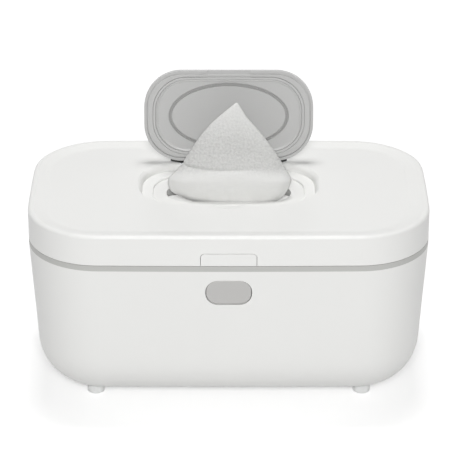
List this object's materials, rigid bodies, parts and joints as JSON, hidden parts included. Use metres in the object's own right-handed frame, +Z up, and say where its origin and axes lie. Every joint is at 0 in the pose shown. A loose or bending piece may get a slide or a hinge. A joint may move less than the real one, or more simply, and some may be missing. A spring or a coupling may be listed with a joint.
{
  "type": "baby wipe warmer",
  "caption": "Heated tub for baby wipes with a hinged lid, a flip lid over the wipe opening and a front release button.",
  "frame": {"origin": "on the resting surface, below the middle of the body", "axes": "+Z up, +X along the width, front with the button faces -Y"},
  "size_m": [0.25, 0.146, 0.181],
  "materials": {
    "white_plastic": "satin",
    "grey_plastic": "satin",
    "dark_plastic": "satin",
    "soft_grey": "soft matte",
    "clear_rubber": "translucent soft",
    "steel": "plain",
    "aluminium": "plain",
    "film": "amber film",
    "foam": "foam",
    "board": "solder mask",
    "component": "moulded",
    "lead": "insulated",
    "nonwoven": "embossed nonwoven"
  },
  "bodies": {
    "base": {"outer_housing": "white_plastic", "bottom_cover": "white_plastic", "bottom_screws": "steel", "rubber_feet": "clear_rubber", "inner_tub": "grey_plastic", "heat_plate": "aluminium", "heater_film": "film", "insulation_pad": "foam", "thermostat": "steel", "thermal_fuse": "component", "control_board": "board", "board_components": "component", "board_screws": "steel", "power_socket": "component", "socket_lead": "lead", "heater_lead": "lead", "button_guide": "white_plastic", "guide_screws": "steel", "lid_hinge_pins": "steel", "button_spring": "steel"},
    "button": {"release_button": "grey_plastic", "latch_slider": "white_plastic"},
    "lid": {"lid_outer": "white_plastic", "lid_inner": "white_plastic", "lid_gasket": "soft_grey", "latch_tab": "white_plastic", "lid_screws": "steel", "flip_hinge_pin": "steel", "wipe": "nonwoven"},
    "flip_lid": {"flip_cover": "white_plastic", "flip_liner": "grey_plastic", "flip_seal": "soft_grey", "flip_hinge_strip": "dark_plastic"}
  },
  "joints": [
    {"name": "lid_hinge", "type": "hinge", "parent": "base", "child": "lid", "pos_m": [0, 0.0698, 0.1004], "axis": [-1, 0, 0], "range_deg": [0, 95]},
    {"name": "flip_hinge", "type": "hinge", "parent": "lid", "child": "flip_lid", "pos_m": [0, 0.0399, 0.1192], "axis": [1, 0, 0], "range_deg": [0, 100], "deforming": ["wipe"]},
    {"name": "button_press", "type": "slide", "parent": "base", "child": "button", "axis": [0, 1, 0], "range_m": [0, 0.0022], "stiffness_N_per_m": 600, "springref_m": -0.004, "deforming": ["button_spring"]}
  ]
}
